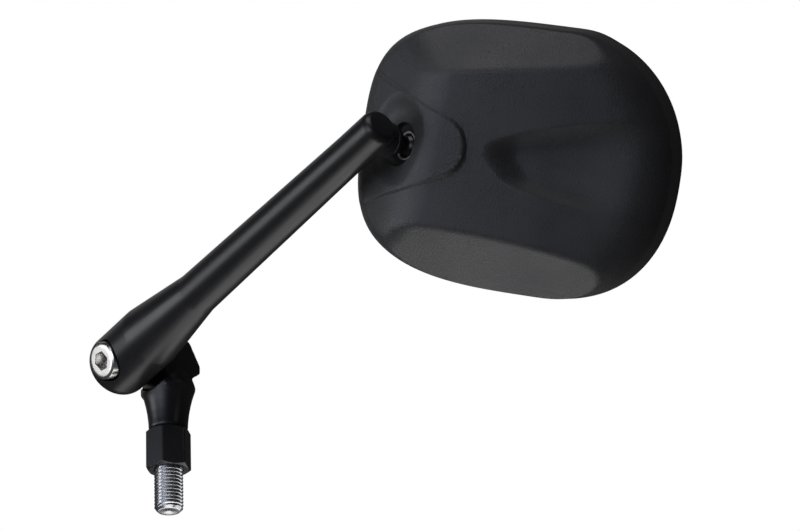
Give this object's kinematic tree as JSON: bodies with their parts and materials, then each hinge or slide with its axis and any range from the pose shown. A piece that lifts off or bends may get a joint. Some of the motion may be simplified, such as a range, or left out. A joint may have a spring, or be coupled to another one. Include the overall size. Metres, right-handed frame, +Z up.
{
  "type": "motorcycle mirror",
  "caption": "Black handlebar mirror: convex glass in a sculpted moulded housing on a ball joint, with a straight arm on a pivoted bracket and threaded stud.",
  "frame": {"origin": "centre of the stud at the lock nut's lower face, which meets the handlebar perch", "axes": "+Z up along the stud, -Y towards the side on which the pivot screw's head lies, +X towards the housing"},
  "size_m": [0.2201, 0.0955, 0.1232],
  "materials": {
    "black_coat": "satin black coat on cast and turned aluminium",
    "black_nut": "black plated steel",
    "zinc_steel": "bright zinc plated steel",
    "stainless": "turned stainless steel",
    "dark_steel": "black oxide steel",
    "spring_steel": "hardened spring steel",
    "brass": "plain brass",
    "nylon": "natural nylon",
    "black_nylon": "black glass filled nylon",
    "black_plastic": "fine grained black moulded plastic",
    "carrier_plastic": "black moulded plastic",
    "foam": "dark grey adhesive foam",
    "edging_rubber": "soft black edging",
    "mirror": "convex silvered glass"
  },
  "bodies": {
    "base": {"threaded_stud": "zinc_steel", "base_bracket": "black_coat", "friction_washer": "zinc_steel", "pivot_screw": "stainless", "spring_washer": "zinc_steel", "plain_washer": "zinc_steel"},
    "nut": {"lock_nut": "black_nut"},
    "arm": {"arm": "black_coat", "ball_stud": "dark_steel", "stud_washer": "zinc_steel"},
    "liner": {"ball_liner": "nylon"},
    "seat": {"seat_ring": "black_nylon"},
    "head": {"housing": "black_plastic", "socket_body": "dark_steel", "rear_cup": "black_nylon", "disc_springs": "spring_steel", "clamp_plate": "zinc_steel", "clamp_screws": "zinc_steel", "boss_inserts": "brass", "glass_carrier": "carrier_plastic", "carrier_screws": "zinc_steel", "foam_pad": "foam", "mirror_glass": "mirror", "glass_gasket": "edging_rubber"}
  },
  "joints": [
    {"name": "nut_turn", "type": "hinge", "parent": "base", "child": "nut", "pos_m": [0, 0, 0.0072], "axis": [0, 0, 1], "range_deg": [0, 180]},
    {"name": "arm_swing", "type": "hinge", "parent": "base", "child": "arm", "pos_m": [0, -0.0175, 0.038], "axis": [0, -0.9336, -0.3584], "range_deg": [-24, 110]},
    {"name": "head_pan", "type": "hinge", "parent": "arm", "child": "liner", "pos_m": [0.14263, -0.00945, 0.0632], "axis": [0.4694, -0.0632, 0.8807], "range_deg": [-12, 9]},
    {"name": "head_tilt", "type": "hinge", "parent": "liner", "child": "seat", "pos_m": [0.14263, -0.00945, 0.0632], "axis": [-0.881, 0.0335, 0.4719], "range_deg": [-12, 9]},
    {"name": "head_spin", "type": "hinge", "parent": "seat", "child": "head", "pos_m": [0.14263, -0.00945, 0.0632], "axis": [-0.0593, -0.9974, -0.04], "range_deg": [-15, 10]}
  ]
}
